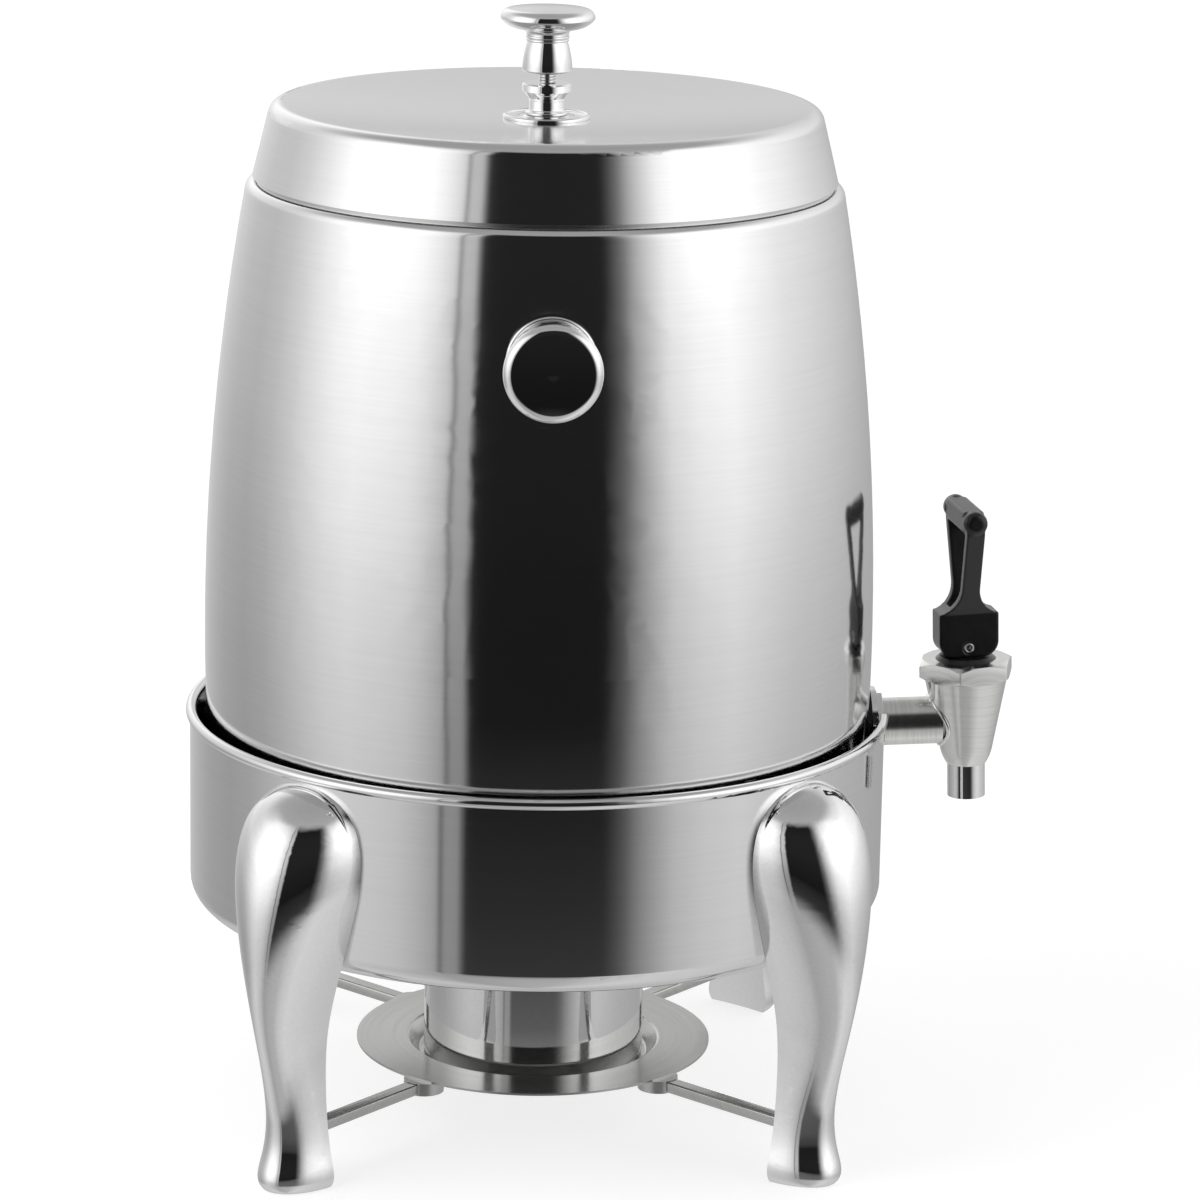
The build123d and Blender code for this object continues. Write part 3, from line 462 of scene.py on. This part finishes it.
class UrnTap(bpy.types.PropertyGroup):
    """Sizes of the tap's moulded and trimmed pieces"""

    grip_half: FloatProperty(
        name="Grip", description="Half length of the lever's grip",
        subtype="DISTANCE", unit="LENGTH", default=21.4 * MM)
    grip_width: FloatProperty(
        name="Grip width", description="Half width of the grip's bar",
        subtype="DISTANCE", unit="LENGTH", default=5.0 * MM)
    voxel: FloatProperty(
        name="Moulding detail", description="Grid that the lever's skin is drawn on",
        subtype="DISTANCE", unit="LENGTH", default=0.42 * MM)
    bead: FloatProperty(
        name="Weld bead", description="Radius of the bead where the shank meets the tap",
        subtype="DISTANCE", unit="LENGTH", default=1.1 * MM)
    nut_edge: FloatProperty(
        name="Nut edges", description="Rounding of the bonnet's and nut's edges",
        subtype="DISTANCE", unit="LENGTH", default=0.35 * MM)


class UrnStage(bpy.types.PropertyGroup):
    """Camera and light"""

    focal_length: FloatProperty(
        name="Lens", description="Focal length on a 36 mm sensor",
        subtype="DISTANCE_CAMERA", default=145.59)
    camera_place: FloatVectorProperty(
        name="Camera", description="Place of the camera",
        subtype="TRANSLATION", unit="LENGTH", size=3,
        default=(AXIS_X - CAMERA_LEFT, -CAMERA_BACK, CAMERA_UP))
    heading: FloatProperty(
        name="Heading", description="Turn of the camera to the right",
        subtype="ANGLE", default=radians(3.4384))
    pitch: FloatProperty(
        name="Pitch", description="How far the camera looks down",
        subtype="ANGLE", default=radians(14.069))
    roll: FloatProperty(
        name="Roll", description="Turn of the camera about its own line",
        subtype="ANGLE", default=radians(1.031))
    light_level: FloatProperty(
        name="Light level", description="Strength of the surroundings",
        subtype="FACTOR", default=1.0, min=0, soft_max=2)


# --- operators ------------------------------------------------------------------------------
class URN_OT_finishes(bpy.types.Operator):
    """Give every CAD node its metal, plastic or rubber"""

    bl_idname = "urn.finishes"
    bl_label = "Finishes"

    def execute(self, context):
        metals = context.scene.urn_metals
        steel, chrome = tuple(metals.steel_tint), tuple(metals.chrome_tint)
        tap_centre = (sum(corner.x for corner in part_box("tap_body")) / 2, 0, 0)
        shank_centre = (0, 0, sum(corner.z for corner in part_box("tap_flange")) / 2)
        brushed_steel("barrel_steel", steel, metals.barrel_roughness, spread=0.5, centre=AXIS)
        brushed_steel("collar_steel", steel, roughness=0.09, spread=0.5, centre=AXIS)
        # Satin steel whose darker tint is partly painted shade from under the tray.
        brushed_steel("satin_steel", SATIN_AND_SHADE_TINT, roughness=0.24, spread=0.5, centre=AXIS,
                      contrast=0.12)
        brushed_steel("tank_steel", TANK_TINT, roughness=0.26, spread=0.4, centre=AXIS)
        brushed_steel("tap_steel", TAP_TINT, roughness=0.2, spread=0.6, centre=tap_centre,
                      contrast=0.12)
        brushed_steel("shank_steel", TAP_TINT, roughness=0.2, spread=0.6, centre=shank_centre,
                      about_x=True, contrast=0.16)
        plated("chrome", chrome, roughness=0.035)
        plated("cup_steel", CUP_TINT, roughness=0.05)
        plated("fastener_steel", FASTENER_TINT, roughness=0.16)
        moulded("black_plastic", PLASTIC_TINT, roughness=0.24)
        soft_rubber("seal_rubber", RUBBER_TINT, roughness=0.62)
        for finish, names in COVERS.items():
            for name in names:
                mesh = NODES[name].data
                mesh.materials.clear()
                mesh.materials.append(FINISHES[finish])
        return {"FINISHED"}


class URN_OT_lever(bpy.types.Operator):
    """Mould the tap's lever: a base with rounded heels, two spreading arms and a square grip"""

    bl_idname = "urn.lever"
    bl_label = "Lever"

    # Millimetres. Heights are from the pin, widths and depths are halves.
    SOLE, SHOULDER, ARM_TOP, GRIP_Z = -4.2, 15.9, 54.4, 59.8
    BASE_HALF, BASE_DEPTH, HEEL, HEEL_STEPS = 13.6, 7.0, 7.0, 8
    ARM_HALF, ARM_LOW, FLARE, FLARE_STEPS = 4.1, 27.8, 12.4, 12
    ARM_INSET, ARM_THICK = 1.4, 4.6
    THROUGH, WINDOW_DEPTH, WINDOW_LOW, WINDOW_OVER = 30, 3.0, 18.5, 0.2
    SLOT = [(8.0, 3.5, -6), (8.0, 3.5, 5.2)]
    PIN_HOLE = [(2.5, -20), (2.5, 20)]
    GRIP_EDGE, GRIP_BUTT = 2.0, 5
    # The grip's rounded head: radius and distance from the grip's end.
    GRIP_HEAD = [(5.5, 6), (5.5, 3), (5.3, 2), (4.9, 1.1), (4.1, 0.4), (3.0, 0)]
    # The pin: radius of its rim and bore, width of their lips, how far it stands out of the base.
    PIN_RIM, PIN_BORE, PIN_LIP, PIN_OUT, PIN_EDGE = 2.4, 1.3, 0.4, 0.05, 0.12
    # Its bores: how far the cutter stands out, then the depth of the lip and of the bore.
    BORE_OUT, LIP_DEEP, BORE_DEEP = 0.1, 0.5, 4
    ROUND_STEPS, HEAD_STEPS = 48, 40

    def blank(self, reach):
        """Base, flare and arms, before the window and the slot are cut."""
        sections = []
        for step in range(self.HEEL_STEPS + 1):
            turn = step * (pi / 2) / self.HEEL_STEPS
            sections.append((self.BASE_HALF - self.HEEL * (1 - sin(turn)), self.BASE_DEPTH,
                             self.SOLE + self.HEEL * (1 - cos(turn))))
        sections.append((self.BASE_HALF, self.BASE_DEPTH, self.SHOULDER))
        centre_x, centre_z = self.ARM_HALF + self.FLARE, self.ARM_LOW
        start = atan2(self.SHOULDER - centre_z, self.BASE_HALF - centre_x)
        for step in range(1, self.FLARE_STEPS + 1):
            turn = start + (-pi - start) * step / self.FLARE_STEPS
            high = centre_z + self.FLARE * sin(turn)
            wide = centre_x + self.FLARE * cos(turn)
            sections.append((wide, self.depth_at(high, reach), high))
        sections += [(self.ARM_HALF, reach, high) for high in (self.ARM_TOP, self.GRIP_Z)]
        return raised("moulded_lever", sections)

    def depth_at(self, high, reach):
        """Half depth at a height, from the base's at the shoulder to the arms' at their top."""
        climb = self.ARM_TOP - self.SHOULDER
        return self.BASE_DEPTH + (reach - self.BASE_DEPTH) * (high - self.SHOULDER) / climb

    def grip_end(self, side, half):
        """Rounded head on one end of the grip's bar."""
        profile = [(radius, half - inset) for radius, inset in self.GRIP_HEAD]
        end = turned("grip_end", profile, self.HEAD_STEPS)
        return settle(end, moved(0, 0, self.GRIP_Z) @ Matrix.Rotation(-side * pi / 2, 4, "X"))

    def execute(self, context):
        sizes = context.scene.urn_tap
        half, width = sizes.grip_half / MM, sizes.grip_width / MM
        reach = half - self.ARM_INSET
        lever = self.blank(reach)
        window = [(self.THROUGH, self.WINDOW_DEPTH, self.WINDOW_LOW),
                  (self.THROUGH, reach - self.ARM_THICK, self.ARM_TOP + self.WINDOW_OVER)]
        combine(lever, raised("window", window), "DIFFERENCE")
        combine(lever, raised("slot", self.SLOT), "DIFFERENCE")
        bar = raised("bar", [(width, half - self.GRIP_BUTT, self.GRIP_Z - width),
                             (width, half - self.GRIP_BUTT, self.GRIP_Z + width)])
        combine(lever, rounded(bar, self.GRIP_EDGE, segments=5))
        for side in (1, -1):
            combine(lever, self.grip_end(side, half))
        hole = settle(turned("pin_hole", self.PIN_HOLE, self.ROUND_STEPS), ALONG_Y)
        combine(lever, hole, "DIFFERENCE")
        modify(lever, "REMESH", mode="VOXEL", voxel_size=sizes.voxel)
        modify(lever, "SMOOTH", factor=0.5, iterations=5)
        settle(lever, AT_PIN)
        bpy.ops.object.shade_smooth()
        hand_over(lever, "tap_lever", "black_plastic", "black_plastic", "tap_lever")
        self.pin()
        return {"FINISHED"}

    def pin(self):
        """Pin with rolled ends and a short bore in each."""
        rim, bore, lip = self.PIN_RIM, self.PIN_BORE, self.PIN_LIP
        end = self.BASE_DEPTH + self.PIN_OUT
        pin = turned("rolled_pin", [(rim - lip, -end), (rim, -end + lip), (rim, end - lip),
                                    (rim - lip, end)], self.ROUND_STEPS)
        mouth = [(bore + lip, end + self.BORE_OUT), (bore, end - self.LIP_DEEP),
                 (bore, end - self.BORE_DEEP)]
        for profile in ([(radius, -height) for radius, height in mouth], mouth[::-1]):
            combine(pin, turned("bore", profile, self.ROUND_STEPS), "DIFFERENCE")
        rounded(pin, self.PIN_EDGE, segments=2, angle=20)
        settle(pin, AT_PIN @ ALONG_Y)
        smooth(pin)
        hand_over(pin, "tap_lever", "fastener_steel", "fastener_steel", "lever_pin")


class URN_OT_tap_trim(bpy.types.Operator):
    """Ease the edges of the tap's bonnet and nut and run a bead round the shank's end"""

    bl_idname = "urn.tap_trim"
    bl_label = "Tap trim"

    # Each nut's CAD node, name, slot and finish.
    NUTS = (("tap_bonnet", "eased_bonnet", "tap_steel", "tap_steel"),
            ("tap_jam_nut", "eased_jam_nut", "fastener_steel", "chrome"))
    # The bead starts as a ring round the shank, this far short of the tap's middle.
    RING_RADIUS, RING_STEPS, RING_SHORT, BEAD_SIDES = 10.8, 96, 22, 4

    def execute(self, context):
        sizes = context.scene.urn_tap
        for node, name, slot, finish in self.NUTS:
            nut = smooth(rounded(copy_of(node, name), sizes.nut_edge / MM))
            hand_over(nut, "tank", slot, finish, node)
        self.bead(sizes.bead)
        return {"FINISHED"}

    def bead(self, radius):
        """Bead on the line where the shank's tube meets the tap's cone."""
        deselect()
        bpy.ops.mesh.primitive_circle_add(vertices=self.RING_STEPS, radius=self.RING_RADIUS * MM)
        bead = bpy.context.object
        bead.name = "shank_bead"
        bead.matrix_world = ON_SHANK @ moved(TAP_REACH - self.RING_SHORT, 0, 0) @ ALONG_X
        modify(bead, "SHRINKWRAP", target=NODES["tap_body"], wrap_method="PROJECT",
               use_project_z=True, use_positive_direction=True, use_negative_direction=False)
        settle(bead)
        bpy.ops.object.convert(target="CURVE")
        bead = bpy.context.object
        bead.data.bevel_depth = radius
        bead.data.bevel_resolution = self.BEAD_SIDES
        bpy.ops.object.convert(target="MESH")
        bead = bpy.context.object
        bpy.ops.object.shade_smooth()
        hand_over(bead, "tank", "polished_chrome", "chrome")


class URN_OT_stud_thread(bpy.types.Operator):
    """Cut the thread that shows between the lid's knob and its post"""

    bl_idname = "urn.stud_thread"
    bl_label = "Stud thread"

    # Millimetres: outer radius, rise of one turn, depth of the groove, size of the ridge.
    RADIUS, PITCH, GROOVE, RIDGE = 3.9, 1.25, 0.6, 0.62
    # Width and height of the chamfer at each end, where the ridge starts, and what it leaves bare.
    CHAMFER, CHAMFER_HIGH, RIDGE_START, BARE = 0.4, 0.5, 0.8, 2
    TURN_STEPS, CORE_STEPS = 40, 48

    def execute(self, context):
        low, high = (corner.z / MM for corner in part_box("lid_knob_stud"))
        root, tip = self.RADIUS - self.GROOVE, self.RADIUS - self.GROOVE - self.CHAMFER
        core = turned("threaded_stud", [
            (tip, low), (root, low + self.CHAMFER_HIGH), (root, high - self.CHAMFER_HIGH),
            (tip, high)], self.CORE_STEPS)
        ridge = self.ridge(low, int((high - low - self.BARE) / self.PITCH))
        pick(core)
        ridge.select_set(True)
        bpy.ops.object.join()
        stud = settle(bpy.context.object, Matrix.Translation(AXIS))
        smooth(stud, angle=25)
        hand_over(stud, "lid", "fastener_steel", "fastener_steel", "lid_knob_stud")
        return {"FINISHED"}

    def ridge(self, low, turns):
        """Closed three-sided ridge that winds up the stud."""
        deselect()
        bpy.ops.mesh.primitive_circle_add(vertices=3, radius=self.RIDGE * MM)
        ridge = bpy.context.object
        settle(ridge, moved(self.RADIUS - self.RIDGE, 0, low + self.RIDGE_START)
               @ Matrix.Rotation(pi / 2, 4, "X") @ Matrix.Rotation(-pi / 2, 4, "Z"))
        modify(ridge, "SCREW", axis="Z", screw_offset=self.PITCH * MM, iterations=turns,
               steps=self.TURN_STEPS, render_steps=self.TURN_STEPS,
               use_merge_vertices=True, merge_threshold=THREAD_MERGE)
        pick(ridge)
        bpy.ops.object.mode_set(mode="EDIT")
        bpy.ops.mesh.select_all(action="SELECT")
        bpy.ops.mesh.fill_holes(sides=4)
        bpy.ops.mesh.select_all(action="SELECT")
        bpy.ops.mesh.normals_make_consistent(inside=False)
        bpy.ops.object.mode_set(mode="OBJECT")
        return ridge


class URN_OT_shoulder(bpy.types.Operator):
    """Spin the barrel's rounded top edge over the drawn sheet, fine enough to mirror cleanly"""

    bl_idname = "urn.shoulder"
    bl_label = "Shoulder"

    # The drawn edge's radii and heights, and how far the skin stands proud of it.
    EDGE = [
        (131.03, 413.0), (130.86, 414.0), (130.71, 414.8), (130.56, 415.4), (130.33, 416.0),
        (130.02, 416.5), (129.63, 417.0), (129.18, 417.45), (128.66, 417.82), (128.11, 418.1),
        (127.52, 418.32), (126.91, 418.46), (126.2, 418.5), (125.4, 418.5)]
    PROUD, FOOT, STEPS = 0.02, (130.4, 412.9), 256
    # What is cut out inside the skin, down in the sheet.
    THROAT = [(130.2, 412), (130.1, 414.7), (129.4, 416.2), (127.6, 417.7), (125.3, 418.1),
              (125.2, 420)]

    def execute(self, context):
        skin = [(radius + self.PROUD, height + self.PROUD) for radius, height in self.EDGE]
        shoulder = turned("spun_shoulder", [self.FOOT] + skin, self.STEPS)
        combine(shoulder, turned("throat", self.THROAT, self.STEPS), "DIFFERENCE")
        settle(shoulder, Matrix.Translation(AXIS))
        smooth(shoulder)
        hand_over(shoulder, "tank", "barrel_steel", "barrel_steel")
        return {"FINISHED"}


class URN_OT_bars(bpy.types.Operator):
    """Draw the four bars under the tray with eased edges"""

    bl_idname = "urn.bars"
    bl_label = "Bars"

    EDGE, EDGE_STEPS = 0.9, 4

    def execute(self, context):
        bars = copy_of("brace_bars", "drawn_bars")
        smooth(rounded(bars, self.EDGE, segments=self.EDGE_STEPS))
        hand_over(bars, "stand", "satin_steel", "satin_steel", "brace_bars")
        return {"FINISHED"}


def studio_world(scene, level):
    """White background; metal sees two wide soft lights, a dark front and a pale table."""
    world = bpy.data.worlds.new("studio")
    scene.world = world
    tree = Tree(world)
    x, y, z = tree.split(tree.node("ShaderNodeTexCoord", output="Generated"))
    distance = hypot(CAMERA_LEFT, CAMERA_BACK)
    front_x, front_y = -CAMERA_LEFT / distance, -CAMERA_BACK / distance
    turn = (x * -front_y + y * front_x).heading(x * front_x + y * front_y)
    turn_share = turn * (0.5 / pi) + 0.5
    round_light = tree.ramp(turn_share, ROUND_LIGHT, -180, 180)
    table = tree.ramp(turn_share, TABLE_LIGHT, -180, 180)
    rise = tree.ramp(z * 0.5 + 0.5, RISE, -1, 1)
    band = z.smooth(*BAND_FROM) * (1 - z.smooth(*BAND_TO)) * BAND_GAIN + 1.0
    beside = z.smooth(*PANEL_FOOT) * (1 - z.smooth(*PANEL_HEAD))
    above = z.smooth(*SKY_FROM)
    ends = table * (1 - above) + SKY_LIGHT * above
    pattern = (round_light * beside + ends * (1 - beside)) * rise * band * WORLD_GAIN
    camera = tree.node("ShaderNodeLightPath", output="Is Camera Ray")
    strength = camera + (1 - camera) * pattern * level
    light = tree.node("ShaderNodeBackground", None, {"Color": (1, 1, 1, 1), "Strength": strength})
    tree.node("ShaderNodeOutputWorld", None, {"Surface": light})


def white_floor():
    """A large white floor with a faint shadow. Metal sees painted light on it, a glow near the urn
    that fades outwards, and sees through the rest.
    """
    deselect()
    bpy.ops.mesh.primitive_plane_add(size=FLOOR_SIZE, location=(0, 0, -FLOOR_DROP))
    floor = bpy.context.object
    floor.name = "floor"
    tree = material("floor")
    camera = tree.node("ShaderNodeLightPath", output="Is Camera Ray")
    glossy = tree.node("ShaderNodeLightPath", output="Is Glossy Ray")
    white = tree.node("ShaderNodeBsdfPrincipled", None, {
        "Base Color": (FLOOR_GREY, FLOOR_GREY, FLOOR_GREY, 1), "Roughness": 0.9,
        "Emission Color": (1, 1, 1, 1), "Emission Strength": camera * FLOOR_GLOW})
    x, y, _ = tree.split(tree.node("ShaderNodeTexCoord", output="Object"))
    x = x - AXIS_X
    # Share of painted light that metal sees on the floor, falling off away from the urn's axis.
    near = tree.ramp((x * x + y * y).root(), NEAR_FLOOR_PAINTED_LIGHT, 0, 1.5)
    through = tree.node("ShaderNodeBsdfTransparent")
    # Painted glow that stands in for the lit table reflected in the metal.
    pale = tree.node("ShaderNodeEmission", None,
                     {"Color": (1, 1, 1, 1), "Strength": PAINTED_POOL_GLOW})
    painted_pool = tree.node("ShaderNodeMixShader", None, (near, through, pale))
    shader = tree.node("ShaderNodeMixShader", None, (glossy, white, painted_pool))
    tree.node("ShaderNodeOutputMaterial", None, {"Surface": shader})
    floor.data.materials.append(FINISHES["floor"])
    floor.visible_shadow = False


class URN_OT_stage(bpy.types.Operator):
    """Floor, soft light and camera"""

    bl_idname = "urn.stage"
    bl_label = "Stage"

    def execute(self, context):
        settings = context.scene.urn_stage
        studio_world(context.scene, settings.light_level)
        white_floor()
        self.lamp()
        context.scene.camera = self.camera(settings)
        context.scene.view_settings.view_transform = "Standard"
        return {"FINISHED"}

    @staticmethod
    def lamp():
        """Soft lamp from the upper left, for the shadow; metal doesn't mirror it."""
        bpy.ops.object.light_add(type="AREA", location=LAMP_PLACE)
        lamp = bpy.context.object
        lamp.data.size, lamp.data.energy = LAMP_SIZE, LAMP_POWER
        lamp.visible_glossy = False
        lamp.rotation_euler = (LAMP_AIM - lamp.location).to_track_quat("-Z", "Y").to_euler()

    @staticmethod
    def camera(settings):
        """Camera turned by its heading, then its pitch, then its roll."""
        heading, pitch, roll = settings.heading, settings.pitch, settings.roll
        ahead = Vector((sin(heading) * cos(pitch), cos(heading) * cos(pitch), -sin(pitch)))
        right = Vector((cos(heading), -sin(heading), 0))
        up = right.cross(ahead)
        turned_by = Matrix((right, up, -ahead)).transposed() @ Matrix.Rotation(roll, 3, "Z")
        bpy.ops.object.camera_add()
        camera = bpy.context.object
        camera.matrix_world = Matrix.Translation(settings.camera_place) @ turned_by.to_4x4()
        camera.data.sensor_width = 36
        camera.data.lens = settings.focal_length
        return camera


class URN_PT_panel(bpy.types.Panel):
    """Pieces and settings of the urn"""

    bl_label = "Coffee urn"
    bl_idname = "URN_PT_panel"
    bl_space_type = "VIEW_3D"
    bl_region_type = "UI"
    bl_category = "Urn"

    def draw(self, context):
        scene = context.scene
        for group in (scene.urn_metals, scene.urn_tap, scene.urn_stage):
            box = self.layout.box()
            for name in group.__annotations__:
                box.prop(group, name)
        for operator in OPERATORS:
            self.layout.operator(operator.bl_idname)


GROUPS = {"urn_metals": UrnMetals, "urn_tap": UrnTap, "urn_stage": UrnStage}
OPERATORS = (URN_OT_finishes, URN_OT_lever, URN_OT_tap_trim, URN_OT_stud_thread,
             URN_OT_shoulder, URN_OT_bars, URN_OT_stage)


def register():
    for made in (*GROUPS.values(), *OPERATORS, URN_PT_panel):
        bpy.utils.register_class(made)
    for name, group in GROUPS.items():
        setattr(bpy.types.Scene, name, PointerProperty(type=group))


def unregister():
    for name in GROUPS:
        delattr(bpy.types.Scene, name)
    for made in reversed((*GROUPS.values(), *OPERATORS, URN_PT_panel)):
        bpy.utils.unregister_class(made)


def main():
    register()
    bpy.ops.urn.finishes()
    bpy.ops.urn.lever()
    bpy.ops.urn.tap_trim()
    bpy.ops.urn.stud_thread()
    bpy.ops.urn.shoulder()
    bpy.ops.urn.bars()
    bpy.ops.urn.stage()


if __name__ == "__main__":
    main()
